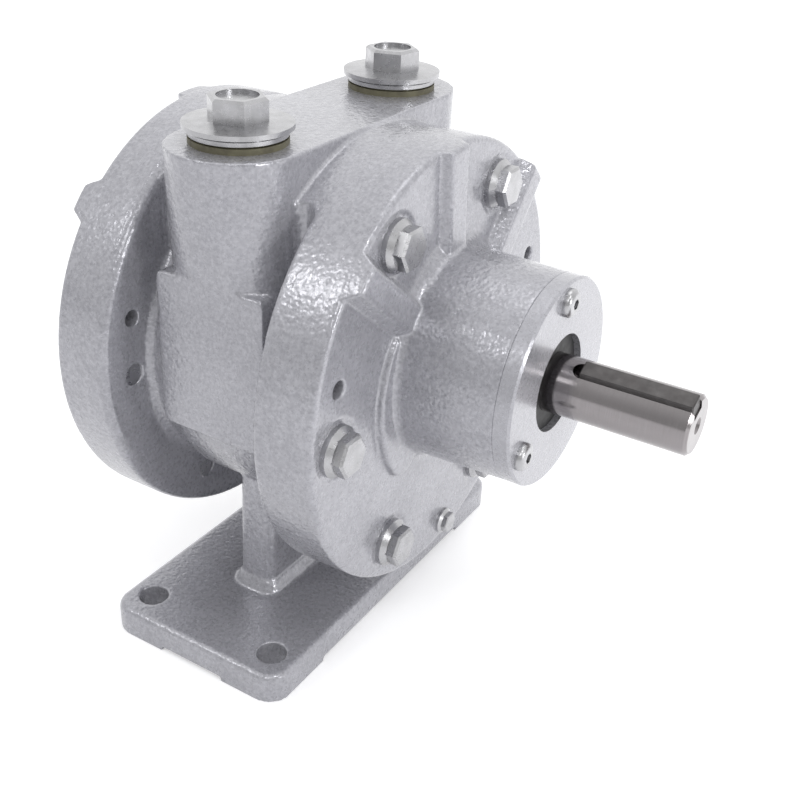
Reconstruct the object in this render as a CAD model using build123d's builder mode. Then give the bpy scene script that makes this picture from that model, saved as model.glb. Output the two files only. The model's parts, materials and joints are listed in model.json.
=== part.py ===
from build123d import *
import os
from math import cos, pi, radians, sin, sqrt

os.makedirs("parts", exist_ok=True)

# Air vane motor on a cast foot, in millimetres
# X runs along the shaft and out of the drive end, Y across the motor, Z up
# The origin is the centre of the foot's underside

# Shaft line, bore line and barrel
SHAFT_HEIGHT = 88.9
ECCENTRICITY = 5.4
BORE_R = 38.0
BARREL_WALL = 10.0
COLLAR_STEP = 2.4
FLANGE_RIM = 14.0
RIM_INSET = 0.1
BARREL_LENGTH = 62.4
FLANGE_T = 7.3
BULGE_HALF = 15.5
BULGE_DRAFT = 1.5

# Port columns, deck and side pads
DECK_RISE = 14.5
DECK_HALF_X = 17.2
DECK_HALF_Y = 53.1
DECK_CORNER_R = 17.0
COLUMN_DRAFT = 0.5
COLUMN_FOOT_CORNER_R = 12.0
COLUMN_FOOT_SINK = 3.0
COLUMN_FOOT_STEP = 0.3
SADDLE_HALF_Y = 38.0
SADDLE_END_OVERLAP = 0.25
PORT_Y = 34.5
PORT_THREAD_R = 6.3
PORT_PASSAGE_R = 5.0
PORT_THREAD_DEPTH = 16.0
PAD_TOP_RISE = 24.0
PAD_BOTTOM_DROP = 20.0
PAD_PROUD = 0.3
PAD_CORNER_R = 2.0

# Pedestal and foot
PEDESTAL_T = 12.2
PEDESTAL_WIDTH = 64.8
PEDESTAL_CORNER_R = 3.0
PEDESTAL_DRAFT = 1.0
SKIRT_OUT = 3.0
SKIRT_RISE = 3.5
SKIRT_DRAFT = 25.0
FOOT_LENGTH_X = 60.4
FOOT_WIDTH_Y = 124.2
FOOT_T = 9.1
FOOT_CORNER_R = 6.5
FOOT_EDGE_R = 2.0
FOOT_RELIEF = 1.5
FOOT_RELIEF_X = 22.0
FOOT_RELIEF_Y = 78.0
FOOT_HOLE_R = 4.25
FOOT_HOLE_X = 43.6
FOOT_HOLE_Y = 105.2

# End covers
GASKET_T = 0.3
COVER_T = 9.7
RIM_ROUND = 1.5
SEAM_ROUND = 0.15
HUB_WALL = 8.2
HUB_DRAFT = 0.7
HUB_FOOT_R = 4.5
FRONT_HUB_RISE = 29.7
REAR_HUB_RISE = 18.8
SHAFT_PASSAGE_GAP = 1.0

# Ribs on the covers: angle of the outer end, and the direction in which the rib runs out to it
RIB_SINK = 2.0
RIB_START = 40.0
RIB_ROUND = 1.2
SIDE_RIBS = ((46.5, 48.5), (137.5, 141.0))
SIDE_RIB_CREST = 6.8
SIDE_RIB_FLARE = 2.6
SIDE_RIB_RISE = 4.0
TOP_RIB = (92.5, 94.0)
TOP_RIB_CREST = 8.4
TOP_RIB_FLARE = 1.5
TOP_RIB_RISE = 2.8

# Raised band at the foot of the hub, about the bore line
BAND_R = 33.7
BAND_WIDTH = 12.0
BAND_RISE = 2.1
BAND_SINK = 1.0
BAND_ROUND = 1.0
BAND_START_ANGLE = 145.0
BAND_SWEEP = 75.0

# Cover fasteners
BOLT_COUNT = 6
BOLT_START_ANGLE = 2.0
BOLT_INSET = 10.9
BOLT_R = 3.0
BOLT_CLEARANCE = 0.3
BOLT_FLANGE_R = 6.8
BOLT_FLANGE_T = 1.4
BOLT_END_INSET = 0.6
BOLT_HEX_AF = 10.0
BOLT_HEX_RISE = 5.6
SPOT_FACE_GAP = 1.4
SPOT_FACE_DEPTH = 0.4
DOWEL_R = 2.3
DOWEL_LENGTH = 9.0
DOWEL_RECESS = 4.0
DOWEL_ANGLES = (18.0, 164.0)
DOWEL_INSET = 9.5
MARKER_ANGLE = -83.0
MARKER_INSET = 5.8
MARKER_R = 1.5
MARKER_FLANGE_R = 3.9
MARKER_FLANGE_T = 0.7
MARKER_HEX_AF = 5.5
MARKER_HEX_RISE = 3.0
MARKER_DEPTH = 6.0
FASTENER_FIT = 0.05
FASTENER_END_GAP = 0.5
HEX_EDGE_SHARE = 0.06
FLANGE_CONE_SHARE = 1.1
DOWEL_EDGE = 0.4

# Hub caps
CAP_T = 4.5
CAP_EDGE = 0.6
CAP_BORE_R = 13.25
CAP_SPIGOT_GAP = 0.05
CAP_SPIGOT_WALL = 2.5
CAP_SCREW_ANGLES = (92.0, 212.0, 332.0)
CAP_SCREW_MARGIN = 3.0
CAP_SCREW_R = 2.0
CAP_SCREW_DEPTH = 7.0
CAP_SCREW_HEAD_R = 3.75
CAP_SCREW_HEAD_RISE = 2.2
CAP_SCREW_HEAD_ROUND = 1.6
CAP_SCREW_SOCKET_AF = 2.5
CAP_SCREW_SOCKET_DEPTH = 1.2

# Bearings and what seats beside them
BEARING_OUTER_R = 20.0
BEARING_T = 12.0
BEARING_RACE_T = 2.8
BEARING_EDGE = 0.5
BEARING_FIT = 0.02
FRONT_BEARING_RECESS = 1.9
REAR_BEARING_RECESS = 1.5
BALL_COUNT = 8
BALL_R = 3.1
BALL_GAP = 0.05
CAGE_WALL = 0.8
CAGE_WIDTH = 8.0
CAGE_BALL_GAP = 0.12
WASHER_T = 1.1
WASHER_EDGE_GAP = 0.3
SEAL_T = 2.6
SEAL_LIP_GAP = 0.05
SEAL_FIT = 0.02
RING_T = 1.1
RING_WALL = 2.3
RING_GROOVE_DEPTH = 0.5

# Shaft and key
SHAFT_R = 7.9375
SHAFT_REACH = 36.8
SHAFT_CHAMFER = 0.8
SHAFT_STEP_INSET = 0.4
JOURNAL_STEP = 0.5625
SHOULDER_STEP = 1.0
CENTRE_HOLE_R = 2.2
CENTRE_HOLE_DEPTH = 3.0
CENTRE_HOLE_TAPER = 30.0
KEY_SIZE = 4.76
KEY_ANGLE = 114.0
KEY_RISE = 1.3625
KEY_INSET = 7.1
KEY_END_GAP = 0.4
KEYWAY_INSET = 4.6
KEY_FIT = 0.02
KEY_EDGE = 0.3

# Rotor and vanes
ROTOR_SEAL_GAP = 0.3
ROTOR_END_GAP = 0.3
ROTOR_FIT = 0.02
VANE_COUNT = 4
VANE_START_ANGLE = 45.0
VANE_T = 4.0
VANE_DEPTH = 17.5
VANE_FIT = 0.06
VANE_BOTTOM_GAP = 0.3
VANE_TIP_GAP = 0.2

# Port plugs
PLUG_GASKET_R = 12.3
PLUG_GASKET_T = 1.5
PLUG_GASKET_LIP_T = 0.5
PLUG_WASHER_R = 12.3
PLUG_WASHER_T = 1.0
PLUG_NECK_R = 11.2
PLUG_NECK_T = 0.7
PLUG_FLANGE_R = 13.65
PLUG_FLANGE_T = 1.2
PLUG_COLLAR_R = 7.8
PLUG_COLLAR_T = 0.6
PLUG_HEX_AF = 13.4
PLUG_HEX_RISE = 6.2
PLUG_HEX_ANGLE = -40.0
PLUG_HEX_EDGE = 0.7
PLUG_RECESS_R = 5.2
PLUG_RECESS_DEPTH = 1.0
PLUG_SHANK_LENGTH = 12.0
PLUG_FIT = 0.05

# Places that follow from the sizes above
BORE_HEIGHT = SHAFT_HEIGHT - ECCENTRICITY
BULGE_R = BORE_R + BARREL_WALL
COLLAR_R = BULGE_R - COLLAR_STEP
FLANGE_R = BULGE_R + FLANGE_RIM
RIB_END_R = FLANGE_R - RIM_INSET
BARREL_HALF = BARREL_LENGTH / 2
FLANGE_INNER = BARREL_HALF - FLANGE_T
COVER_SEAT = BARREL_HALF + GASKET_T
COVER_FACE = COVER_SEAT + COVER_T
DECK_HEIGHT = BORE_HEIGHT + BULGE_R + DECK_RISE
BOLT_CIRCLE_R = FLANGE_R - BOLT_INSET
DOWEL_CIRCLE_R = FLANGE_R - DOWEL_INSET
HUB_R = BEARING_OUTER_R + HUB_WALL
HUB_BASE_R = HUB_R + HUB_DRAFT
FRONT_HUB_END = COVER_FACE + FRONT_HUB_RISE
REAR_HUB_END = COVER_FACE + REAR_HUB_RISE
BEARING_BORE_R = SHAFT_R + JOURNAL_STEP
SHAFT_BODY_R = BEARING_BORE_R + SHOULDER_STEP
SHAFT_PASSAGE_R = SHAFT_BODY_R + SHAFT_PASSAGE_GAP
CAP_SCREW_CIRCLE_R = BEARING_OUTER_R + CAP_SCREW_MARGIN
BOLT_SEAT = COVER_FACE - SPOT_FACE_DEPTH
FRONT_BEARING_OUT = FRONT_HUB_END - FRONT_BEARING_RECESS
FRONT_BEARING_IN = FRONT_BEARING_OUT - BEARING_T
REAR_BEARING_OUT = -(REAR_HUB_END - REAR_BEARING_RECESS)
REAR_BEARING_IN = REAR_BEARING_OUT + BEARING_T
ROTOR_R = BORE_R - ECCENTRICITY - ROTOR_SEAL_GAP
ROTOR_HALF = BARREL_HALF - ROTOR_END_GAP
SLOT_FLOOR_R = ROTOR_R - VANE_TIP_GAP - VANE_DEPTH - VANE_BOTTOM_GAP
BALL_CIRCLE_R = (BEARING_BORE_R + BEARING_OUTER_R) / 2
CAP_FACE = FRONT_HUB_END + CAP_T
SHAFT_END = CAP_FACE + SHAFT_REACH
KEY_START = CAP_FACE + KEY_INSET
KEYWAY_START = CAP_FACE + KEYWAY_INSET
KEY_TOP_R = SHAFT_R + KEY_RISE
PAD_FACE = BULGE_R + PAD_PROUD
PAD_TOP = SHAFT_HEIGHT + PAD_TOP_RISE

# Planes and axes of the bore line and the shaft line
# On an end plane local x is +Y and local y is +Z, so angles run from +Y towards +Z
BORE_END = Plane(origin=(0, 0, BORE_HEIGHT), x_dir=(0, 1, 0), z_dir=(1, 0, 0))
SHAFT_PLANE = Plane(origin=(0, 0, SHAFT_HEIGHT), x_dir=(0, 1, 0), z_dir=(1, 0, 0))
BORE_SECTION = Plane(origin=(0, 0, BORE_HEIGHT), x_dir=(1, 0, 0), z_dir=(0, -1, 0))
SHAFT_SECTION = Plane(origin=(0, 0, SHAFT_HEIGHT), x_dir=(1, 0, 0), z_dir=(0, -1, 0))
HUB_SECTION = Plane(origin=(0, 0, SHAFT_HEIGHT), x_dir=(1, 0, 0), z_dir=(0, 0, 1))
BORE_AXIS = Axis((0, 0, BORE_HEIGHT), (1, 0, 0))
SHAFT_AXIS = Axis((0, 0, SHAFT_HEIGHT), (1, 0, 0))


def keep(builder, name):
    """Labels a finished piece and writes its file."""
    builder.part.label = name
    export_step(builder.part, "parts/" + name + ".step")


def turned(section, axis, outline):
    """A solid turned about an axis from its outline, given as (x, radius) points."""
    with BuildPart() as piece:
        with BuildSketch(section):
            with BuildLine():
                Polyline(*outline, close=True)
            make_face()
        revolve(axis=axis)
    return piece.part


def ring(x_start, x_end, r_inner, r_outer, edge=0.0):
    """A ring about the shaft line, with its outer corners broken by an edge."""
    outline = [(x_start, r_inner), (x_end, r_inner)]
    if edge > 0:
        outline += [(x_end, r_outer - edge), (x_end - edge, r_outer)]
        outline += [(x_start + edge, r_outer), (x_start, r_outer - edge)]
    else:
        outline += [(x_end, r_outer), (x_start, r_outer)]
    return turned(SHAFT_SECTION, SHAFT_AXIS, outline)


# Housing: barrel with two flanges, port columns, side pads, pedestal and foot in one casting
barrel_outline = [
    (-BARREL_HALF, 0),
    (-BARREL_HALF, FLANGE_R),
    (-FLANGE_INNER, FLANGE_R),
    (-FLANGE_INNER, COLLAR_R),
    (-BULGE_HALF - BULGE_DRAFT, COLLAR_R),
    (-BULGE_HALF, BULGE_R),
    (BULGE_HALF, BULGE_R),
    (BULGE_HALF + BULGE_DRAFT, COLLAR_R),
    (FLANGE_INNER, COLLAR_R),
    (FLANGE_INNER, FLANGE_R),
    (BARREL_HALF, FLANGE_R),
    (BARREL_HALF, 0),
]
barrel_rounds = [SEAM_ROUND, 2.5, 3.0, 0.8, 1.5, 1.5, 0.8, 3.0, 0.8, SEAM_ROUND]
wall_middle = BORE_R + BARREL_WALL / 2
skirt_t = PEDESTAL_T + 2 * SKIRT_OUT
skirt_width = PEDESTAL_WIDTH + 2 * SKIRT_OUT
pedestal_top = BORE_HEIGHT - sqrt(wall_middle**2 - (PEDESTAL_WIDTH / 2) ** 2)

column_foot_x = 2 * (DECK_HALF_X + COLUMN_DRAFT)
column_foot_y = 2 * (PAD_FACE - COLUMN_FOOT_STEP)
saddle_gap = FLANGE_INNER - DECK_HALF_X
saddle_gap_middle = DECK_HALF_X + saddle_gap / 2

with BuildPart() as saddle_block:
    with BuildSketch(Plane.XY.offset(BORE_HEIGHT)):
        Rectangle(2 * FLANGE_INNER, 2 * SADDLE_HALF_Y)
        with GridLocations(2 * saddle_gap_middle, 2 * SADDLE_HALF_Y, 2, 2):
            Circle(saddle_gap / 2 + SADDLE_END_OVERLAP, mode=Mode.SUBTRACT)
    extrude(amount=FLANGE_R)
    with BuildSketch(BORE_END):
        Circle(RIB_END_R)
    extrude(amount=FLANGE_INNER, both=True, mode=Mode.INTERSECT)
saddle = saddle_block.part

with BuildPart() as housing:
    # Foot
    with BuildSketch(Plane.XY):
        RectangleRounded(FOOT_LENGTH_X, FOOT_WIDTH_Y, FOOT_CORNER_R)
    extrude(amount=FOOT_T)
    fillet(housing.faces().sort_by(Axis.Z)[-1].edges(), FOOT_EDGE_R)
    # Relief under the foot, which leaves a pad at each corner
    with BuildSketch(Plane.XY):
        Rectangle(FOOT_RELIEF_X, FOOT_WIDTH_Y)
        Rectangle(FOOT_LENGTH_X, FOOT_RELIEF_Y)
    extrude(amount=FOOT_RELIEF, mode=Mode.SUBTRACT)
    with BuildSketch(Plane.XY):
        with GridLocations(FOOT_HOLE_X, FOOT_HOLE_Y, 2, 2):
            Circle(FOOT_HOLE_R)
    extrude(amount=FOOT_T, mode=Mode.SUBTRACT)
    # Skirt and pedestal
    with BuildSketch(Plane.XY.offset(FOOT_T - FOOT_EDGE_R)):
        RectangleRounded(skirt_t, skirt_width, PEDESTAL_CORNER_R + SKIRT_OUT)
    extrude(amount=FOOT_EDGE_R + SKIRT_RISE, taper=SKIRT_DRAFT)
    with BuildSketch(Plane.XY.offset(FOOT_T - FOOT_EDGE_R)):
        RectangleRounded(PEDESTAL_T, PEDESTAL_WIDTH, PEDESTAL_CORNER_R)
    extrude(amount=pedestal_top - FOOT_T + FOOT_EDGE_R, taper=PEDESTAL_DRAFT)
    # Barrel and flanges
    with BuildSketch(BORE_SECTION):
        with BuildLine():
            FilletPolyline(*barrel_outline, radius=barrel_rounds)
            Line((BARREL_HALF, 0), (-BARREL_HALF, 0))
        make_face()
    revolve(axis=BORE_AXIS)
    # Port columns under one deck, which run down into the side pads
    with BuildSketch(Plane.XY.offset(DECK_HEIGHT)):
        RectangleRounded(2 * DECK_HALF_X, 2 * DECK_HALF_Y, DECK_CORNER_R)
    with BuildSketch(Plane.XY.offset(PAD_TOP - COLUMN_FOOT_SINK)):
        RectangleRounded(column_foot_x, column_foot_y, COLUMN_FOOT_CORNER_R)
    loft()
    # Saddle that closes the gap between the flanges and the columns at the top
    add(saddle)
    # Flat pads on both sides of the barrel
    with BuildSketch(Plane.XZ):
        with Locations((0, PAD_TOP - (PAD_TOP_RISE + PAD_BOTTOM_DROP) / 2)):
            RectangleRounded(2 * (BULGE_HALF + BULGE_DRAFT), PAD_TOP_RISE + PAD_BOTTOM_DROP, PAD_CORNER_R)
    extrude(amount=PAD_FACE, both=True)
    # Bore
    with BuildSketch(BORE_END):
        Circle(BORE_R)
    extrude(amount=BARREL_HALF, both=True, mode=Mode.SUBTRACT)
    # Threaded ports and their passages down into the bore
    with BuildSketch(Plane.XY.offset(DECK_HEIGHT)):
        with Locations((0, PORT_Y), (0, -PORT_Y)):
            Circle(PORT_THREAD_R)
    extrude(amount=-PORT_THREAD_DEPTH, mode=Mode.SUBTRACT)
    with BuildSketch(Plane.XY.offset(BORE_HEIGHT)):
        with Locations((0, PORT_Y), (0, -PORT_Y)):
            Circle(PORT_PASSAGE_R)
    extrude(amount=DECK_HEIGHT - BORE_HEIGHT - PORT_THREAD_DEPTH, mode=Mode.SUBTRACT)
    # Bolt holes and dowel holes through both flanges
    for flange_start in (-BARREL_HALF, FLANGE_INNER):
        with BuildSketch(BORE_END.offset(flange_start)):
            with PolarLocations(BOLT_CIRCLE_R, BOLT_COUNT, start_angle=BOLT_START_ANGLE):
                Circle(BOLT_R + FASTENER_FIT)
            for dowel_angle in DOWEL_ANGLES:
                with PolarLocations(DOWEL_CIRCLE_R, 1, start_angle=dowel_angle):
                    Circle(DOWEL_R + FASTENER_FIT)
        extrude(amount=FLANGE_T, mode=Mode.SUBTRACT)
keep(housing, "housing")


# End covers: a flanged plate on the bore line that carries a hub on the shaft line
def cover_rib(end_angle, direction, crest, flare, rise):
    """A straight rib that ends flush with the rim, with rounded crest edges."""
    out = (0, cos(radians(direction)), sin(radians(direction)))
    across = (0, -out[2], out[1])
    y = FLANGE_R * cos(radians(end_angle)) - RIB_START * out[1]
    z = BORE_HEIGHT + FLANGE_R * sin(radians(end_angle)) - RIB_START * out[2]
    half = crest / 2
    foot = half + flare
    outline = [(-foot, -RIB_SINK), (-foot, 0), (-half, rise), (half, rise), (foot, 0), (foot, -RIB_SINK)]
    with BuildPart() as rib:
        with BuildSketch(Plane(origin=(COVER_FACE, y, z), x_dir=across, z_dir=out)):
            with BuildLine():
                Polyline(*outline, close=True)
            make_face()
        extrude(amount=RIB_START + RIM_ROUND)
        with BuildSketch(BORE_END.offset(COVER_FACE)):
            Circle(RIB_END_R)
        extrude(amount=rise + RIB_SINK, both=True, mode=Mode.INTERSECT)
        fillet(rib.faces().sort_by(Axis.X)[-1].edges(), RIB_ROUND)
    return rib.part


def cover_outline(hub_end):
    """The hub's outline from its foot fillet to its end, without the closing lines."""
    foot_centre = (COVER_FACE + HUB_FOOT_R, HUB_BASE_R + HUB_FOOT_R)
    middle = (foot_centre[0] - HUB_FOOT_R * cos(pi / 4), foot_centre[1] - HUB_FOOT_R * sin(pi / 4))
    return [(COVER_FACE, foot_centre[1]), middle, (foot_centre[0], HUB_BASE_R), (hub_end, HUB_R)]


cover_ribs = [cover_rib(*TOP_RIB, TOP_RIB_CREST, TOP_RIB_FLARE, TOP_RIB_RISE)]
for side_rib in SIDE_RIBS:
    cover_ribs.append(cover_rib(*side_rib, SIDE_RIB_CREST, SIDE_RIB_FLARE, SIDE_RIB_RISE))

band_end = radians(BAND_START_ANGLE + BAND_SWEEP)
band_middle_r = BAND_R - BAND_WIDTH / 2
band_tip = (
    band_middle_r * cos(band_end) - BAND_WIDTH / 2 * sin(band_end),
    band_middle_r * sin(band_end) + BAND_WIDTH / 2 * cos(band_end),
)

with BuildPart() as hub_band:
    with BuildSketch(BORE_END.offset(COVER_FACE - BAND_SINK)):
        with BuildLine():
            outer_edge = CenterArc((0, 0), BAND_R, BAND_START_ANGLE, BAND_SWEEP)
            inner_edge = CenterArc((0, 0), BAND_R - BAND_WIDTH, BAND_START_ANGLE, BAND_SWEEP)
            Line(outer_edge @ 0, inner_edge @ 0)
            ThreePointArc(outer_edge @ 1, band_tip, inner_edge @ 1)
        make_face()
    extrude(amount=BAND_SINK + BAND_RISE)
    fillet(hub_band.faces().sort_by(Axis.X)[-1].edges(), BAND_ROUND)


def cover_casting(hub_end, bearing_in):
    """A cover for the drive end; the other end's is its mirror image."""
    fillet_start, fillet_middle, fillet_end, hub_corner = cover_outline(hub_end)
    rib_top = COVER_FACE + SIDE_RIB_RISE
    with BuildPart() as cover:
        with BuildSketch(BORE_SECTION):
            with BuildLine():
                FilletPolyline(
                    (COVER_SEAT, 0),
                    (COVER_SEAT, FLANGE_R),
                    (COVER_FACE, FLANGE_R),
                    (COVER_FACE, 0),
                    radius=[SEAM_ROUND, RIM_ROUND],
                )
                Line((COVER_FACE, 0), (COVER_SEAT, 0))
            make_face()
        revolve(axis=BORE_AXIS)
        add(cover_ribs)
        add(hub_band.part)
        # Spot faces let the bolt heads down beside the ribs
        with BuildSketch(BORE_END.offset(BOLT_SEAT)):
            with PolarLocations(BOLT_CIRCLE_R, BOLT_COUNT, start_angle=BOLT_START_ANGLE):
                Circle(BOLT_FLANGE_R + SPOT_FACE_GAP)
        extrude(amount=rib_top - BOLT_SEAT, mode=Mode.SUBTRACT)
        # Hub with a filleted foot, turned from the side so that its seam clears the ribs and the band
        with BuildSketch(HUB_SECTION):
            with BuildLine():
                Line((COVER_SEAT, 0), (COVER_SEAT, fillet_start[1]))
                Line((COVER_SEAT, fillet_start[1]), fillet_start)
                ThreePointArc(fillet_start, fillet_middle, fillet_end)
                Line(fillet_end, hub_corner)
                Line(hub_corner, (hub_end, 0))
                Line((hub_end, 0), (COVER_SEAT, 0))
            make_face()
        revolve(axis=SHAFT_AXIS)
        # Shaft passage and bearing pocket
        with BuildSketch(SHAFT_PLANE.offset(COVER_SEAT)):
            Circle(SHAFT_PASSAGE_R)
        extrude(amount=hub_end - COVER_SEAT, mode=Mode.SUBTRACT)
        with BuildSketch(SHAFT_PLANE.offset(bearing_in)):
            Circle(BEARING_OUTER_R + BEARING_FIT)
        extrude(amount=hub_end - bearing_in, mode=Mode.SUBTRACT)
        # Cap screw holes
        with BuildSketch(SHAFT_PLANE.offset(hub_end)):
            for screw_angle in CAP_SCREW_ANGLES:
                with PolarLocations(CAP_SCREW_CIRCLE_R, 1, start_angle=screw_angle):
                    Circle(CAP_SCREW_R + FASTENER_FIT)
        extrude(amount=-CAP_SCREW_DEPTH, mode=Mode.SUBTRACT)
        # Bolt holes and dowel holes
        with BuildSketch(BORE_END.offset(COVER_SEAT)):
            with PolarLocations(BOLT_CIRCLE_R, BOLT_COUNT, start_angle=BOLT_START_ANGLE):
                Circle(BOLT_R + BOLT_CLEARANCE)
            for dowel_angle in DOWEL_ANGLES:
                with PolarLocations(DOWEL_CIRCLE_R, 1, start_angle=dowel_angle):
                    Circle(DOWEL_R + FASTENER_FIT)
        extrude(amount=rib_top - COVER_SEAT, mode=Mode.SUBTRACT)
        # Hole for the small screw low on the face
        with BuildSketch(BORE_END.offset(COVER_FACE)):
            with PolarLocations(FLANGE_R - MARKER_INSET, 1, start_angle=MARKER_ANGLE):
                Circle(MARKER_R + FASTENER_FIT)
        extrude(amount=-MARKER_DEPTH, mode=Mode.SUBTRACT)
    return cover.part


front_casting = cover_casting(FRONT_HUB_END, FRONT_BEARING_IN)
rear_casting = cover_casting(REAR_HUB_END, -REAR_BEARING_IN)

with BuildPart() as front_cover:
    add(front_casting)
keep(front_cover, "front_cover")

with BuildPart() as rear_cover:
    add(rear_casting)
    mirror(about=Plane.YZ, mode=Mode.REPLACE)
keep(rear_cover, "rear_cover")


# Gaskets between the housing and the covers
def cover_gasket(x_start):
    """A thin sheet ring with holes for the bolts and dowels."""
    with BuildPart() as sheet:
        with BuildSketch(BORE_END.offset(x_start)):
            Circle(FLANGE_R - SEAM_ROUND)
            Circle(BORE_R, mode=Mode.SUBTRACT)
            with PolarLocations(BOLT_CIRCLE_R, BOLT_COUNT, start_angle=BOLT_START_ANGLE):
                Circle(BOLT_R + BOLT_CLEARANCE, mode=Mode.SUBTRACT)
            for dowel_angle in DOWEL_ANGLES:
                with PolarLocations(DOWEL_CIRCLE_R, 1, start_angle=dowel_angle):
                    Circle(DOWEL_R + BOLT_CLEARANCE, mode=Mode.SUBTRACT)
        extrude(amount=GASKET_T)
    return sheet


front_gasket = cover_gasket(BARREL_HALF)
keep(front_gasket, "front_gasket")
rear_gasket = cover_gasket(-COVER_SEAT)
keep(rear_gasket, "rear_gasket")


# Fasteners of the covers are made at the drive end and mirrored for the other end
def face_plane(x, centre_height, radius, angle):
    """A plane facing +X, at a radius and an angle about a line along X."""
    place = (x, radius * cos(radians(angle)), centre_height + radius * sin(radians(angle)))
    return Plane(origin=place, x_dir=(0, 1, 0), z_dir=(1, 0, 0))


def hex_screw(plane, shank, flange, hexagon):
    """A hex screw with a flange: shank (radius, length), flange (radius, thickness), hexagon (AF, rise)."""
    with BuildPart() as screw:
        with BuildSketch(plane):
            Circle(shank[0])
        extrude(amount=-shank[1])
        with BuildSketch(plane):
            RegularPolygon(hexagon[0] / 2, 6, major_radius=False)
        extrude(amount=hexagon[1])
        chamfer(screw.faces().sort_by(Axis.X)[-1].edges(), hexagon[0] * HEX_EDGE_SHARE)
        with BuildSketch(plane):
            Circle(flange[0])
        extrude(amount=flange[1])
        with BuildSketch(plane.offset(flange[1])):
            Circle(flange[0])
        with BuildSketch(plane.offset(2 * flange[1])):
            Circle(hexagon[0] / 2 * FLANGE_CONE_SHARE)
        loft()
    return screw.part


def button_screw(plane):
    """A button-head screw with a hex socket."""
    with BuildPart() as screw:
        with BuildSketch(plane):
            Circle(CAP_SCREW_R)
        extrude(amount=-CAP_T - CAP_SCREW_DEPTH + FASTENER_END_GAP)
        with BuildSketch(plane):
            Circle(CAP_SCREW_HEAD_R)
        extrude(amount=CAP_SCREW_HEAD_RISE)
        fillet(screw.faces().sort_by(Axis.X)[-1].edges(), CAP_SCREW_HEAD_ROUND)
        with BuildSketch(plane.offset(CAP_SCREW_HEAD_RISE)):
            RegularPolygon(CAP_SCREW_SOCKET_AF / 2, 6, major_radius=False)
        extrude(amount=-CAP_SCREW_SOCKET_DEPTH, mode=Mode.SUBTRACT)
    return screw.part


def keep_pair(front_parts, stem):
    """Writes a group of drive-end pieces and its mirror image at the other end."""
    with BuildPart() as front:
        add(front_parts)
    keep(front, "front_" + stem)
    with BuildPart() as rear:
        add(front_parts)
        mirror(about=Plane.YZ, mode=Mode.REPLACE)
    keep(rear, "rear_" + stem)


bolt_length = BOLT_SEAT - FLANGE_INNER - BOLT_END_INSET
cover_bolts = []
for bolt_index in range(BOLT_COUNT):
    bolt_angle = BOLT_START_ANGLE + 360 / BOLT_COUNT * bolt_index
    cover_bolts.append(
        hex_screw(
            face_plane(BOLT_SEAT, BORE_HEIGHT, BOLT_CIRCLE_R, bolt_angle),
            (BOLT_R, bolt_length),
            (BOLT_FLANGE_R, BOLT_FLANGE_T),
            (BOLT_HEX_AF, BOLT_HEX_RISE),
        )
    )
keep_pair(cover_bolts, "cover_bolts")

marker_plane = face_plane(COVER_FACE, BORE_HEIGHT, FLANGE_R - MARKER_INSET, MARKER_ANGLE)
marker_screw = hex_screw(
    marker_plane,
    (MARKER_R, MARKER_DEPTH - FASTENER_END_GAP),
    (MARKER_FLANGE_R, MARKER_FLANGE_T),
    (MARKER_HEX_AF, MARKER_HEX_RISE),
)
keep_pair([marker_screw], "marker_screw")

dowel_pins = []
for dowel_angle in DOWEL_ANGLES:
    with BuildPart() as dowel:
        with BuildSketch(face_plane(COVER_FACE - DOWEL_RECESS, BORE_HEIGHT, DOWEL_CIRCLE_R, dowel_angle)):
            Circle(DOWEL_R)
        extrude(amount=-DOWEL_LENGTH)
        chamfer(dowel.edges().filter_by(GeomType.CIRCLE), DOWEL_EDGE)
    dowel_pins.append(dowel.part)
keep_pair(dowel_pins, "dowel_pins")


# Hub caps: the drive end's is open for the shaft, the other is closed
def hub_cap(hub_end, spigot_length, bore_r):
    """A cap on the end of the hub, with a spigot that reaches towards the bearing."""
    spigot_r = BEARING_OUTER_R - CAP_SPIGOT_GAP
    with BuildPart() as cap:
        with BuildSketch(SHAFT_PLANE.offset(hub_end)):
            Circle(HUB_R)
        extrude(amount=CAP_T)
        chamfer(cap.faces().sort_by(Axis.X)[-1].edges(), CAP_EDGE)
        with BuildSketch(SHAFT_PLANE.offset(hub_end)):
            Circle(spigot_r)
            Circle(spigot_r - CAP_SPIGOT_WALL, mode=Mode.SUBTRACT)
        extrude(amount=-spigot_length)
        if bore_r > 0:
            with BuildSketch(SHAFT_PLANE.offset(hub_end)):
                Circle(bore_r)
            extrude(amount=CAP_T, mode=Mode.SUBTRACT)
        with BuildSketch(SHAFT_PLANE.offset(hub_end)):
            for screw_angle in CAP_SCREW_ANGLES:
                with PolarLocations(CAP_SCREW_CIRCLE_R, 1, start_angle=screw_angle):
                    Circle(CAP_SCREW_R + BOLT_CLEARANCE)
        extrude(amount=CAP_T, mode=Mode.SUBTRACT)
    return cap.part


def cap_screws(hub_end):
    """The three button screws of a cap at the drive end."""
    screws = []
    for screw_angle in CAP_SCREW_ANGLES:
        screw_plane = face_plane(hub_end + CAP_T, SHAFT_HEIGHT, CAP_SCREW_CIRCLE_R, screw_angle)
        screws.append(button_screw(screw_plane))
    return screws


with BuildPart() as front_cap:
    add(hub_cap(FRONT_HUB_END, FRONT_BEARING_RECESS, CAP_BORE_R))
keep(front_cap, "front_cap")

with BuildPart() as rear_cap:
    add(hub_cap(REAR_HUB_END, REAR_BEARING_RECESS - WASHER_T, 0))
    mirror(about=Plane.YZ, mode=Mode.REPLACE)
keep(rear_cap, "rear_cap")

with BuildPart() as front_cap_screws:
    add(cap_screws(FRONT_HUB_END))
keep(front_cap_screws, "front_cap_screws")

with BuildPart() as rear_cap_screws:
    add(cap_screws(REAR_HUB_END))
    mirror(about=Plane.YZ, mode=Mode.REPLACE)
keep(rear_cap_screws, "rear_cap_screws")

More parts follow.
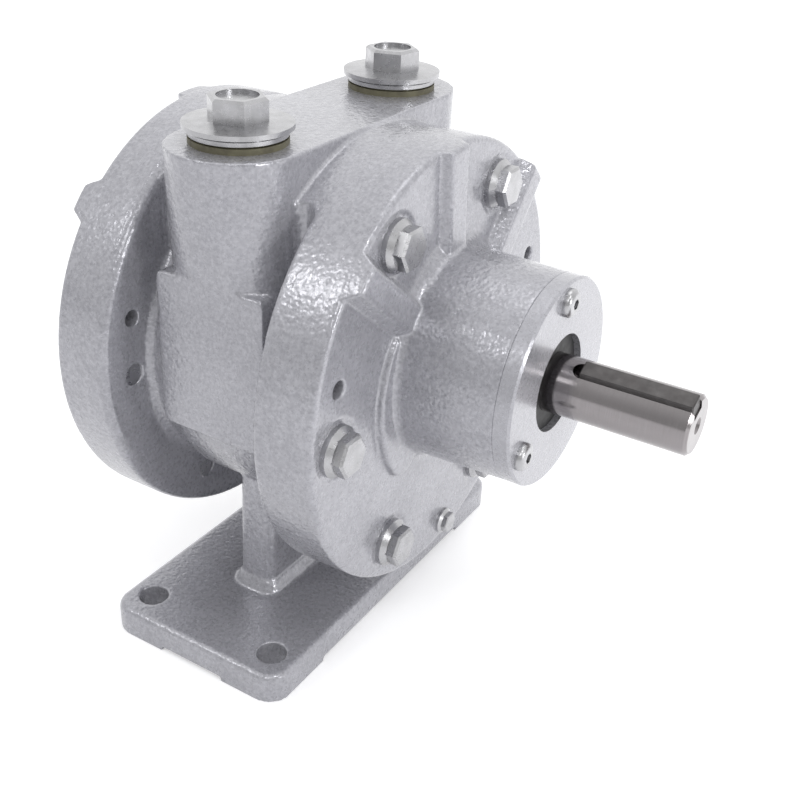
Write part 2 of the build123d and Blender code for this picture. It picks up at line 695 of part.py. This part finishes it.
# Shaft seal in the drive end's cap, wave washer behind the other bearing, retaining ring on the shaft
with BuildPart() as shaft_seal:
    add(ring(FRONT_HUB_END, FRONT_HUB_END + SEAL_T, SHAFT_R + SEAL_LIP_GAP, CAP_BORE_R - SEAL_FIT))
keep(shaft_seal, "shaft_seal")

with BuildPart() as wave_washer:
    washer_inner_r = BEARING_OUTER_R - CAP_SPIGOT_WALL
    washer_outer_r = BEARING_OUTER_R - WASHER_EDGE_GAP
    add(ring(REAR_BEARING_OUT - WASHER_T, REAR_BEARING_OUT, washer_inner_r, washer_outer_r))
keep(wave_washer, "wave_washer")

with BuildPart() as retaining_ring:
    ring_inner_r = BEARING_BORE_R - RING_GROOVE_DEPTH
    add(ring(FRONT_BEARING_OUT, FRONT_BEARING_OUT + RING_T, ring_inner_r, BEARING_BORE_R + RING_WALL))
keep(retaining_ring, "retaining_ring")


# Ball bearings
def ball_places(x_middle):
    """The centres of the balls of one bearing."""
    places = []
    for ball_index in range(BALL_COUNT):
        ball_angle = 2 * pi * ball_index / BALL_COUNT
        y = BALL_CIRCLE_R * cos(ball_angle)
        places.append((x_middle, y, SHAFT_HEIGHT + BALL_CIRCLE_R * sin(ball_angle)))
    return places


def bearing(stem, x_start):
    """Writes the two races, the cage and the balls of one bearing."""
    x_end = x_start + BEARING_T
    x_middle = x_start + BEARING_T / 2
    groove = BALL_R + BALL_GAP
    with BuildPart() as outer_race:
        add(ring(x_start, x_end, BEARING_OUTER_R - BEARING_RACE_T, BEARING_OUTER_R, BEARING_EDGE))
        with BuildSketch(SHAFT_SECTION):
            with Locations((x_middle, BALL_CIRCLE_R)):
                Circle(groove)
        revolve(axis=SHAFT_AXIS, mode=Mode.SUBTRACT)
    keep(outer_race, stem + "_outer_race")
    with BuildPart() as inner_race:
        add(ring(x_start, x_end, BEARING_BORE_R + BEARING_FIT, BEARING_BORE_R + BEARING_RACE_T))
        with BuildSketch(SHAFT_SECTION):
            with Locations((x_middle, BALL_CIRCLE_R)):
                Circle(groove)
        revolve(axis=SHAFT_AXIS, mode=Mode.SUBTRACT)
    keep(inner_race, stem + "_inner_race")
    with BuildPart() as balls:
        with Locations(ball_places(x_middle)):
            Sphere(BALL_R)
    keep(balls, stem + "_balls")
    with BuildPart() as cage:
        cage_half = CAGE_WIDTH / 2
        cage_inner = BALL_CIRCLE_R - CAGE_WALL / 2
        add(ring(x_middle - cage_half, x_middle + cage_half, cage_inner, cage_inner + CAGE_WALL))
        for place in ball_places(x_middle):
            out = (0, place[1], place[2] - SHAFT_HEIGHT)
            with BuildSketch(Plane(origin=place, x_dir=(1, 0, 0), z_dir=out)):
                Circle(BALL_R + CAGE_BALL_GAP)
            extrude(amount=BALL_R, both=True, mode=Mode.SUBTRACT)
    keep(cage, stem + "_cage")


bearing("front_bearing", FRONT_BEARING_IN)
bearing("rear_bearing", REAR_BEARING_OUT)

# Shaft with its journals, rotor seat, ring groove, keyway and centre hole
key_bottom_r = KEY_TOP_R - KEY_SIZE
groove_floor_r = BEARING_BORE_R - RING_GROOVE_DEPTH
shaft_outline = [
    (REAR_BEARING_OUT, 0),
    (REAR_BEARING_OUT, BEARING_BORE_R - BEARING_EDGE),
    (REAR_BEARING_OUT + BEARING_EDGE, BEARING_BORE_R),
    (REAR_BEARING_IN, BEARING_BORE_R),
    (REAR_BEARING_IN, SHAFT_BODY_R),
    (FRONT_BEARING_IN, SHAFT_BODY_R),
    (FRONT_BEARING_IN, BEARING_BORE_R),
    (FRONT_BEARING_OUT, BEARING_BORE_R),
    (FRONT_BEARING_OUT, groove_floor_r),
    (FRONT_BEARING_OUT + RING_T, groove_floor_r),
    (FRONT_BEARING_OUT + RING_T, BEARING_BORE_R),
    (FRONT_HUB_END - SHAFT_STEP_INSET, BEARING_BORE_R),
    (FRONT_HUB_END - SHAFT_STEP_INSET, SHAFT_R),
    (SHAFT_END - SHAFT_CHAMFER, SHAFT_R),
    (SHAFT_END, SHAFT_R - SHAFT_CHAMFER),
    (SHAFT_END, 0),
]
key_up = (0, cos(radians(KEY_ANGLE)), sin(radians(KEY_ANGLE)))
key_floor = (0, key_bottom_r * key_up[1], SHAFT_HEIGHT + key_bottom_r * key_up[2])
key_plane = Plane(origin=key_floor, x_dir=(1, 0, 0), z_dir=key_up)

with BuildPart() as shaft:
    add(turned(SHAFT_SECTION, SHAFT_AXIS, shaft_outline))
    # Keyway, with a rounded inner end
    with BuildSketch(key_plane):
        with Locations(((KEYWAY_START + SHAFT_END + KEY_SIZE) / 2, 0)):
            SlotOverall(SHAFT_END + KEY_SIZE - KEYWAY_START, KEY_SIZE + 2 * KEY_FIT)
    extrude(amount=KEY_SIZE, mode=Mode.SUBTRACT)
    # Centre hole in the end
    with BuildSketch(SHAFT_PLANE.offset(SHAFT_END)):
        Circle(CENTRE_HOLE_R)
    extrude(amount=-CENTRE_HOLE_DEPTH, taper=CENTRE_HOLE_TAPER, mode=Mode.SUBTRACT)
keep(shaft, "shaft")

with BuildPart() as shaft_key:
    key_end = SHAFT_END - KEY_END_GAP
    with BuildSketch(key_plane):
        with Locations(((KEY_START + key_end) / 2, 0)):
            Rectangle(key_end - KEY_START, KEY_SIZE)
    extrude(amount=KEY_SIZE)
    chamfer(shaft_key.edges(), KEY_EDGE)
keep(shaft_key, "shaft_key")


# Rotor and the vanes in its slots
def vane_plane(index, radius):
    """A plane that looks out along a vane, at a radius from the shaft line."""
    angle = radians(VANE_START_ANGLE + 360 / VANE_COUNT * index)
    out = (0, cos(angle), sin(angle))
    return Plane(origin=(0, radius * out[1], SHAFT_HEIGHT + radius * out[2]), x_dir=(1, 0, 0), z_dir=out)


with BuildPart() as rotor:
    add(ring(-ROTOR_HALF, ROTOR_HALF, SHAFT_BODY_R + ROTOR_FIT, ROTOR_R))
    for vane_index in range(VANE_COUNT):
        with BuildSketch(vane_plane(vane_index, SLOT_FLOOR_R)):
            Rectangle(2 * ROTOR_HALF, VANE_T + 2 * VANE_FIT)
        extrude(amount=ROTOR_R, mode=Mode.SUBTRACT)
keep(rotor, "rotor")

for vane_index in range(VANE_COUNT):
    with BuildPart() as vane:
        with BuildSketch(vane_plane(vane_index, SLOT_FLOOR_R + VANE_BOTTOM_GAP)):
            Rectangle(2 * ROTOR_HALF, VANE_T)
        extrude(amount=VANE_DEPTH)
    keep(vane, "vane_" + str(vane_index + 1))


# Port plugs, each on a steel washer and a rubber gasket
def port_plug(side):
    """Writes one plug with its washer and gasket; side is +1 or -1 along Y."""
    name = "far_plug" if side > 0 else "near_plug"
    deck = Plane(origin=(0, side * PORT_Y, DECK_HEIGHT))
    washer_seat = PLUG_GASKET_T + PLUG_GASKET_LIP_T
    neck_seat = washer_seat + PLUG_WASHER_T
    flange_seat = neck_seat + PLUG_NECK_T
    flange_top = flange_seat + PLUG_FLANGE_T
    hole_r = PORT_THREAD_R + PLUG_FIT
    with BuildPart() as gasket:
        with BuildSketch(deck):
            Circle(PLUG_GASKET_R)
            Circle(hole_r, mode=Mode.SUBTRACT)
        extrude(amount=PLUG_GASKET_T)
        with BuildSketch(deck.offset(PLUG_GASKET_T)):
            Circle(PLUG_NECK_R)
            Circle(hole_r, mode=Mode.SUBTRACT)
        extrude(amount=PLUG_GASKET_LIP_T)
    keep(gasket, name + "_gasket")
    with BuildPart() as washer:
        with BuildSketch(deck.offset(washer_seat)):
            Circle(PLUG_WASHER_R)
            Circle(hole_r, mode=Mode.SUBTRACT)
        extrude(amount=PLUG_WASHER_T)
    keep(washer, name + "_washer")
    with BuildPart() as plug:
        with BuildSketch(deck.offset(neck_seat)):
            Circle(PORT_THREAD_R - PLUG_FIT)
        extrude(amount=-neck_seat - PLUG_SHANK_LENGTH)
        with BuildSketch(deck.offset(flange_top)):
            RegularPolygon(PLUG_HEX_AF / 2, 6, major_radius=False, rotation=PLUG_HEX_ANGLE)
        extrude(amount=PLUG_HEX_RISE)
        chamfer(plug.faces().sort_by(Axis.Z)[-1].edges(), PLUG_HEX_EDGE)
        with BuildSketch(deck.offset(flange_top + PLUG_HEX_RISE)):
            Circle(PLUG_RECESS_R)
        extrude(amount=-PLUG_RECESS_DEPTH, mode=Mode.SUBTRACT)
        with BuildSketch(deck.offset(flange_top)):
            Circle(PLUG_FLANGE_R)
        with BuildSketch(deck.offset(flange_top + PLUG_COLLAR_T)):
            Circle(PLUG_COLLAR_R)
        loft()
        with BuildSketch(deck.offset(flange_seat)):
            Circle(PLUG_FLANGE_R)
        extrude(amount=PLUG_FLANGE_T)
        with BuildSketch(deck.offset(neck_seat)):
            Circle(PLUG_NECK_R)
        extrude(amount=PLUG_NECK_T)
    keep(plug, name)


port_plug(1)
port_plug(-1)
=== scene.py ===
import json
import math

import bpy
from mathutils import Matrix, Vector

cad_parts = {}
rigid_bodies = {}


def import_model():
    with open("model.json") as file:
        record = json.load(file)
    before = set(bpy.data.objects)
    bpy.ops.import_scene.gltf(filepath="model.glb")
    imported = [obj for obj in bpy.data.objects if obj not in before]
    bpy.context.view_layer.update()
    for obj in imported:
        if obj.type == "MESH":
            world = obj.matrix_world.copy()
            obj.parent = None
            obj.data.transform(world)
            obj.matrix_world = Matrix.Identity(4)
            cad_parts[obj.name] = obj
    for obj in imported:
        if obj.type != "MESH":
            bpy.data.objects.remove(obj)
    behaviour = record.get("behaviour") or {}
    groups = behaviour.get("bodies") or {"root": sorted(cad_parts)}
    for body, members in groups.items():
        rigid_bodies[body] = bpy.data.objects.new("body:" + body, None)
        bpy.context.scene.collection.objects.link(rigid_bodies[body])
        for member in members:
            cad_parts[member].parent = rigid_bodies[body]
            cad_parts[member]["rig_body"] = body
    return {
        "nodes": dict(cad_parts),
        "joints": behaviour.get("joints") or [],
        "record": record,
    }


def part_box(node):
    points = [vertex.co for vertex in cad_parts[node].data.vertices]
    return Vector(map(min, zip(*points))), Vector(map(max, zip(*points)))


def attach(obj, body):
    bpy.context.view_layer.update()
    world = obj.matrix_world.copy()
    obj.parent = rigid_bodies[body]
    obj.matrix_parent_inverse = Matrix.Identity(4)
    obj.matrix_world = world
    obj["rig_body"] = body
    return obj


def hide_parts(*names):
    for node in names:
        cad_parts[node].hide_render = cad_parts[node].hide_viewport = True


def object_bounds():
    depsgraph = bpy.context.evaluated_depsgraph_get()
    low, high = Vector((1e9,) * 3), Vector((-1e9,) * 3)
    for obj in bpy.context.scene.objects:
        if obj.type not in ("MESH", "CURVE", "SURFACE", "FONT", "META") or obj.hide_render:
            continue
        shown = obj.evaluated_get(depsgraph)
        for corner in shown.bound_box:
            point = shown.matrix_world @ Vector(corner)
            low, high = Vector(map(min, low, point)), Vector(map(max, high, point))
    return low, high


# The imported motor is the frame: X along the shaft, Z up, in metres
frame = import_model()
cad_low, cad_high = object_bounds()
nodes = frame["nodes"]
slot_of = {row["node"]: row["material_slot"] for row in frame["record"]["subparts"]}
shaft_spin = next(joint for joint in frame["joints"] if joint["name"] == "shaft_spin")
SHAFT_LINE = Vector((0, 0, shaft_spin["pos_m"][2]))
MM = 0.001


def placed(name, data):
    """A new object of the scene."""
    piece = bpy.data.objects.new(name, data)
    bpy.context.scene.collection.objects.link(piece)
    return piece


# Camera, solved from the edges, circles and corners that the photo shows
CAMERA_AZIMUTH = math.radians(31.145)
CAMERA_ELEVATION = math.radians(29.180)
CAMERA_ROLL = math.radians(2.478)
CAMERA_DISTANCE = 323.05 * MM
CAMERA_RIGHTWARD = 18.518 * MM
CAMERA_UPWARD = -24.797 * MM
CAMERA_SHIFT = (0.02036, -0.00667)
CAMERA_NEAR_CLIP = 10 * MM
LENS_MM = 50.498
SENSOR_MM = 36


def make_camera():
    """A camera that faces the shaft line's middle from afar, and is then moved and rolled."""
    flat = math.cos(CAMERA_ELEVATION)
    back = Vector((
        math.sin(CAMERA_AZIMUTH) * flat,
        -math.cos(CAMERA_AZIMUTH) * flat,
        math.sin(CAMERA_ELEVATION),
    ))
    level = Vector((0, 0, 1)).cross(back).normalized()
    steep = back.cross(level)
    right = math.cos(CAMERA_ROLL) * level + math.sin(CAMERA_ROLL) * steep
    up = -math.sin(CAMERA_ROLL) * level + math.cos(CAMERA_ROLL) * steep
    place = SHAFT_LINE + back * CAMERA_DISTANCE + right * CAMERA_RIGHTWARD + up * CAMERA_UPWARD
    data = bpy.data.cameras.new("photo_camera")
    data.lens = LENS_MM
    data.sensor_width = SENSOR_MM
    data.shift_x, data.shift_y = CAMERA_SHIFT
    data.clip_start = CAMERA_NEAR_CLIP
    camera = placed("photo_camera", data)
    turn = Matrix((right, up, back)).transposed()
    camera.matrix_world = Matrix.Translation(place) @ turn.to_4x4()
    bpy.context.scene.camera = camera


make_camera()

# Materials. Noise lies mostly between these values, which are spread over its whole range
WIDE_SPREAD = (0.3, 0.7)
NARROW_SPREAD = (0.35, 0.65)
GROOVE_TONE = 0.86
UNEVENNESS = 0.08


class Nodes:
    """Short ways to add and join the nodes of one material or world."""

    def __init__(self, owner, output_kind):
        owner.use_nodes = True
        self.tree = owner.node_tree
        self.tree.nodes.clear()
        self.output = self.add(output_kind)
        self.coordinates = self.add("ShaderNodeTexCoord").outputs

    def fill(self, node, inputs):
        """Gives each input, by name or number, its value or the output that feeds it."""
        for key, value in inputs.items():
            if isinstance(value, bpy.types.NodeSocket):
                self.tree.links.new(value, node.inputs[key])
            else:
                node.inputs[key].default_value = value

    def add(self, kind, inputs=None, **settings):
        """Adds a node with these inputs and settings."""
        node = self.tree.nodes.new(kind)
        for key, value in settings.items():
            setattr(node, key, value)
        self.fill(node, inputs or {})
        return node

    def ramp(self, value, low, high, out_low=0.0, out_high=1.0):
        """Maps low..high to out_low..out_high, clamped."""
        limits = {"From Min": low, "From Max": high, "To Min": out_low, "To Max": out_high}
        return self.add("ShaderNodeMapRange", {"Value": value, **limits}).outputs["Result"]

    def weighted_sum(self, a, b, weight):
        """a plus weight times b."""
        inputs = {0: b, 1: weight, 2: a}
        return self.add("ShaderNodeMath", inputs, operation="MULTIPLY_ADD").outputs["Value"]

    def mix(self, factor, a, b):
        """Mixes two colours."""
        inputs = {"Factor": factor, "A": (*a, 1), "B": (*b, 1)}
        return self.add("ShaderNodeMix", inputs, data_type="RGBA").outputs["Result"]

    def noise(self, cell_mm, detail, rough=0.5, stretch=(1, 1, 1)):
        """Noise with cells of about this size, stretched along each axis."""
        cells_per_metre = 1 / (cell_mm * MM)
        scale = [cells_per_metre / times for times in stretch]
        mapping = {"Vector": self.coordinates["Object"], "Scale": scale}
        place = self.add("ShaderNodeMapping", mapping).outputs["Vector"]
        inputs = {"Vector": place, "Scale": 1.0, "Detail": detail, "Roughness": rough}
        return self.add("ShaderNodeTexNoise", inputs).outputs["Fac"]

    def patches(self, cell_mm, detail, spread, low=0.0, high=1.0):
        """Noise whose usual values are spread from low to high."""
        return self.ramp(self.noise(cell_mm, detail), *spread, low, high)

    def dimples(self, cell_mm, smoothness=0.6):
        """Distance to the nearest of scattered points about this far apart."""
        inputs = {
            "Vector": self.coordinates["Object"],
            "Scale": 1 / (cell_mm * MM),
            "Smoothness": smoothness,
        }
        return self.add("ShaderNodeTexVoronoi", inputs, feature="SMOOTH_F1").outputs["Distance"]

    def end_faces(self, on_faces, elsewhere, slanted=0.8, square=0.97):
        """One value on faces square to the shaft, another on those that slant enough."""
        parts = self.add("ShaderNodeSeparateXYZ", {"Vector": self.coordinates["Normal"]})
        along = self.add("ShaderNodeMath", {0: parts.outputs["X"]}, operation="ABSOLUTE")
        return self.ramp(along.outputs["Value"], slanted, square, elsewhere, on_faces)


class Surface(Nodes):
    """One material with a Principled shader, in its object's own coordinates."""

    def __init__(self, name):
        self.material = bpy.data.materials.new(name)
        super().__init__(self.material, "ShaderNodeOutputMaterial")
        self.shader = self.add("ShaderNodeBsdfPrincipled")
        self.fill(self.output, {"Surface": self.shader.outputs["BSDF"]})

    def finished(self, colour, roughness, height, depth_mm, strength=1.0, **others):
        """The material with these inputs, bumped by a height whose full range is depth_mm."""
        relief = {"Height": height, "Distance": depth_mm * MM, "Strength": strength}
        normal = self.add("ShaderNodeBump", relief).outputs["Normal"]
        inputs = {"Base Color": colour, "Roughness": roughness}
        inputs |= {"Normal": normal, "Coat Normal": normal}
        inputs |= {name.replace("_", " "): value for name, value in others.items()}
        self.fill(self.shader, inputs)
        return self.material


def hammered_paint(name, light, dark, bump_mm=0.15, rough=(0.24, 0.36), face_bump=0.35):
    """Silver-grey hammered paint over a rough casting, smoother on the end faces."""
    cover = Surface(name)
    mottle = cover.patches(cell_mm=1.3, detail=1, spread=WIDE_SPREAD)
    drift = cover.patches(cell_mm=20, detail=2, spread=NARROW_SPREAD)
    fleck = cover.patches(cell_mm=0.7, detail=0, spread=WIDE_SPREAD)
    tone = cover.weighted_sum(mottle, drift, weight=0.5)
    tone = cover.weighted_sum(tone, fleck, weight=0.8)
    lumps = cover.noise(cell_mm=1.5, detail=1, rough=0.6)
    dimples = cover.dimples(cell_mm=1.1)
    return cover.finished(
        colour=cover.mix(cover.ramp(tone, low=0.4, high=1.9), dark, light),
        roughness=cover.patches(1.1, 3, NARROW_SPREAD, *rough),
        height=cover.weighted_sum(lumps, dimples, weight=0.4),
        depth_mm=bump_mm,
        strength=cover.end_faces(on_faces=face_bump, elsewhere=1.0),
        Metallic=0.4,
        Coat_Weight=0.6,
        Coat_Roughness=0.12,
    )


def plated_steel(name, colour, tint):
    """Zinc-plated steel with a slight change of tint and a fine grain."""
    plating = Surface(name)
    return plating.finished(
        colour=plating.mix(plating.patches(4.0, 3, NARROW_SPREAD), colour, tint),
        roughness=plating.patches(1.2, 4, WIDE_SPREAD, low=0.24, high=0.36),
        height=plating.noise(cell_mm=1.2, detail=1),
        depth_mm=0.004,
        Metallic=1.0,
    )


def ground_steel(name, colour, rough):
    """Steel ground round the shaft: fine rings across its length, darker in their grooves."""
    steel = Surface(name)
    rings = steel.noise(cell_mm=0.12, detail=2, stretch=(1, 60, 60))
    in_grooves = [channel * GROOVE_TONE for channel in colour]
    return steel.finished(
        colour=steel.mix(steel.ramp(rings, *WIDE_SPREAD), in_grooves, colour),
        roughness=steel.patches(5.0, 3, WIDE_SPREAD, *rough),
        height=rings,
        depth_mm=0.004,
        Metallic=1.0,
    )


def dull_solid(name, colour, dark, rough, metallic=0.0, grain_mm=0.6, bump_mm=0.02):
    """Rubber, composite or dull iron: one hue that varies a little, with a grain."""
    solid = Surface(name)
    return solid.finished(
        colour=solid.mix(solid.patches(3.0, 4, WIDE_SPREAD), colour, dark),
        roughness=solid.patches(2.0, 2, WIDE_SPREAD, rough - UNEVENNESS, rough + UNEVENNESS),
        height=solid.noise(grain_mm, detail=3),
        depth_mm=bump_mm,
        Metallic=metallic,
    )


# One material for each of the record's slots
PAINT_LIGHT = (0.44, 0.44, 0.475)
PAINT_DARK = (0.325, 0.325, 0.355)
SATIN_DARK = (0.38, 0.38, 0.41)
materials = {
    "painted_casting": hammered_paint("hammered_paint", PAINT_LIGHT, PAINT_DARK),
    "satin_cap": hammered_paint(
        "satin_paint", PAINT_LIGHT, SATIN_DARK, bump_mm=0.06, rough=(0.24, 0.34), face_bump=0.1
    ),
    "gasket_sheet": hammered_paint("painted_gasket", PAINT_LIGHT, PAINT_DARK),
    "zinc_steel": plated_steel("zinc_steel", (0.52, 0.52, 0.535), (0.44, 0.44, 0.45)),
    "dark_steel": plated_steel("dark_steel", (0.20, 0.20, 0.21), (0.13, 0.13, 0.14)),
    "bearing_steel": ground_steel("bearing_steel", (0.62, 0.62, 0.63), rough=(0.16, 0.26)),
    "ground_steel": ground_steel("ground_steel", (0.34, 0.32, 0.325), rough=(0.12, 0.2)),
    "key_steel": dull_solid(
        "key_steel", (0.105, 0.10, 0.10), (0.075, 0.07, 0.07),
        rough=0.42, metallic=0.75, grain_mm=0.8, bump_mm=0.006,
    ),
    "rotor_iron": dull_solid(
        "rotor_iron", (0.30, 0.30, 0.31), (0.22, 0.22, 0.23),
        rough=0.4, metallic=0.9, grain_mm=0.5, bump_mm=0.01,
    ),
    "vane_composite": dull_solid(
        "vane_composite", (0.12, 0.09, 0.06), (0.07, 0.05, 0.04), rough=0.6
    ),
    "black_rubber": dull_solid(
        "black_rubber", (0.03, 0.03, 0.03), (0.02, 0.02, 0.02), rough=0.55
    ),
    "olive_rubber": dull_solid(
        "olive_rubber", (0.17, 0.16, 0.10), (0.10, 0.09, 0.06), rough=0.5
    ),
}


def paint(piece, slot):
    """Gives a piece the material of a slot."""
    piece.data.materials.clear()
    piece.data.materials.append(materials[slot])


for node_name, node in nodes.items():
    paint(node, slot_of[node_name])

# Castings: the same solids with the soft edges and fillets that casting and thick paint leave
CAST_TRIANGLES = 180000
EDGE_ROUNDS = 3
SMOOTHING = 0.5
SPARED_DEPTH = 2.5 * MM


def applied(piece, kind, **settings):
    """Adds a modifier to a piece and applies it."""
    modifier = piece.modifiers.new(kind.lower(), kind)
    for key, value in settings.items():
        setattr(modifier, key, value)
    bpy.context.view_layer.objects.active = piece
    bpy.ops.object.modifier_apply(modifier=modifier.name)


def cast_copy(node_name, voxel_mm, more_rounds=0):
    """A softened copy of a CAD casting, which stands for it; more_rounds spare its seat and end."""
    piece = placed("cast_" + node_name, nodes[node_name].data.copy())
    voxel = voxel_mm * MM * 1
    applied(piece, "REMESH", mode="VOXEL", voxel_size=voxel, adaptivity=0)
    applied(piece, "SMOOTH", factor=SMOOTHING, iterations=EDGE_ROUNDS)
    if more_rounds:
        near, far = sorted(abs(corner.x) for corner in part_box(node_name))
        near, far = near + SPARED_DEPTH, far - SPARED_DEPTH
        open_faces = piece.vertex_groups.new(name="open_faces")
        chosen = [v.index for v in piece.data.vertices if near < abs(v.co.x) < far]
        open_faces.add(chosen, 1.0, "REPLACE")
        applied(
            piece, "SMOOTH",
            factor=SMOOTHING, iterations=more_rounds, vertex_group=open_faces.name,
        )
    # Each face of the voxel mesh is a quad
    count = len(piece.data.polygons) * 2
    if count > CAST_TRIANGLES:
        applied(piece, "DECIMATE", ratio=CAST_TRIANGLES / count)
    piece.data.shade_smooth()
    paint(piece, slot_of[node_name])
    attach(piece, nodes[node_name]["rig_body"])
    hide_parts(node_name)


cast_copy("housing", voxel_mm=0.5)
cast_copy("front_cover", voxel_mm=0.35, more_rounds=9)
cast_copy("rear_cover", voxel_mm=0.35, more_rounds=9)

# Paint that runs over the joints, where the gaskets lie a little below the rims
GASKET_SET_BACK = 0.15 * MM
SKIN_HALF_WIDTH = 5.0 * MM
SKIN_PROUD = 0.03 * MM
SKIN_DEPTH = 0.5 * MM
SKIN_STEPS = 12
SKIN_SEGMENTS = 256


def joint_skin(gasket_name):
    """A thin band of paint over one joint, fitted to its gasket, with edges that dive under."""
    name = "paint_over_" + gasket_name
    gasket = nodes[gasket_name]
    corners = [gasket.matrix_world @ Vector(corner) for corner in gasket.bound_box]
    middle = sum(corners, Vector()) / len(corners)
    rim = max(corner.z for corner in corners) - middle.z + GASKET_SET_BACK
    outline = []
    for step in range(SKIN_STEPS + 1):
        across = 2 * step / SKIN_STEPS - 1
        radius = rim + SKIN_PROUD * (1 - 2 * across**4)
        outline.append((middle.x + across * SKIN_HALF_WIDTH, radius))
    outline.append((middle.x + SKIN_HALF_WIDTH, rim - SKIN_DEPTH))
    outline.append((middle.x - SKIN_HALF_WIDTH, rim - SKIN_DEPTH))
    points, faces = [], []
    for segment in range(SKIN_SEGMENTS):
        angle = 2 * math.pi * segment / SKIN_SEGMENTS
        for x, radius in outline:
            y, z = radius * math.cos(angle), radius * math.sin(angle)
            points.append((x, middle.y + y, middle.z + z))
    size = len(outline)
    for segment in range(SKIN_SEGMENTS):
        for j in range(size):
            a, b = segment * size + j, segment * size + (j + 1) % size
            c, d = (b + size) % len(points), (a + size) % len(points)
            faces.append((a, b, c, d))
    mesh = bpy.data.meshes.new(name)
    mesh.from_pydata(points, [], faces)
    mesh.update()
    skin = placed(name, mesh)
    mesh.shade_smooth()
    paint(skin, "painted_casting")
    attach(skin, nodes[gasket_name]["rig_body"])


joint_skin("front_gasket")
joint_skin("rear_gasket")

# Floor: it stays white to the camera, and metal mirrors more light from the part behind the motor
WHITE = (1, 1, 1, 1)
FLOOR_SIZE = 6
FLOOR_COLOUR = (0.86, 0.86, 0.87, 1)
FLOOR_GLOW = 0.35
MIRRORED_GLOW = 0.45
MIRRORED_FROM_Y, MIRRORED_TO_Y = -0.2, 0.15


def make_floor():
    """A pale floor that stays white where it is lit and keeps the motor's shadow."""
    bpy.ops.mesh.primitive_plane_add(size=FLOOR_SIZE, location=(0, 0, cad_low.z))
    floor = bpy.context.object
    floor.name = "floor"
    material = bpy.data.materials.new("pale_floor")
    pale = Nodes(material, "ShaderNodeOutputMaterial")
    ray = pale.add("ShaderNodeLightPath").outputs
    place = pale.add("ShaderNodeSeparateXYZ", {"Vector": pale.coordinates["Object"]}).outputs
    seen = pale.add(
        "ShaderNodeMath", {0: ray["Is Camera Ray"], 1: FLOOR_GLOW}, operation="MULTIPLY"
    )
    mirrored = pale.ramp(place["Y"], MIRRORED_FROM_Y, MIRRORED_TO_Y, 0.0, MIRRORED_GLOW)
    strength = pale.weighted_sum(seen.outputs["Value"], ray["Is Glossy Ray"], mirrored)
    glow = pale.add("ShaderNodeEmission", {"Color": WHITE, "Strength": strength})
    diffuse = pale.add("ShaderNodeBsdfDiffuse", {"Color": FLOOR_COLOUR})
    shaders = {0: diffuse.outputs["BSDF"], 1: glow.outputs["Emission"]}
    both = pale.add("ShaderNodeAddShader", shaders)
    pale.fill(pale.output, {"Surface": both.outputs["Shader"]})
    floor.data.materials.append(material)


# World: its light grows along a direction that points up and back, past the motor
TOWARDS_BACK = (-0.35, 0.85, 0.4)
FRONT_END, BACK_END = -0.6, 0.8
FRONT_STRENGTH, BACK_STRENGTH = 0.55, 1.15
SEEN_STRENGTH = 1.0


def make_world():
    """A white surround, brighter behind the motor than before it; the camera sees it as white."""
    world = bpy.data.worlds.new("studio")
    surround = Nodes(world, "ShaderNodeOutputWorld")
    directions = {0: surround.coordinates["Generated"], 1: TOWARDS_BACK}
    along = surround.add("ShaderNodeVectorMath", directions, operation="DOT_PRODUCT")
    strength = surround.ramp(
        along.outputs["Value"], FRONT_END, BACK_END, FRONT_STRENGTH, BACK_STRENGTH
    )
    light = surround.add("ShaderNodeBackground", {"Color": WHITE, "Strength": strength})
    seen = surround.add("ShaderNodeBackground", {"Color": WHITE, "Strength": SEEN_STRENGTH})
    ray = surround.add("ShaderNodeLightPath").outputs
    mixed = surround.add("ShaderNodeMixShader", {
        "Fac": ray["Is Camera Ray"],
        1: light.outputs["Background"],
        2: seen.outputs["Background"],
    })
    surround.fill(surround.output, {"Surface": mixed.outputs["Shader"]})
    bpy.context.scene.world = world


def softbox(name, place, side, power):
    """A square area light that faces the motor."""
    data = bpy.data.lights.new(name, "AREA")
    data.shape = "SQUARE"
    data.size = side
    data.energy = power
    light = placed(name, data)
    light.location = place
    light.rotation_euler = (Vector(place) - SHAFT_LINE).to_track_quat("Z", "Y").to_euler()


make_floor()
make_world()
softbox("left_light", (-0.45, -0.61, 0.74), side=0.2, power=0.8)
softbox("front_light", (0.4, -0.8, 0.85), side=0.3, power=1.3)
softbox("top_light", (0.0, 0.25, 1.1), side=0.5, power=1.1)
softbox("glint_light", (0.55, -0.22, 0.95), side=0.1, power=0.9)
softbox("right_light", (1.0, -0.15, 0.35), side=0.25, power=1.9)

bpy.context.scene.view_settings.view_transform = "Standard"
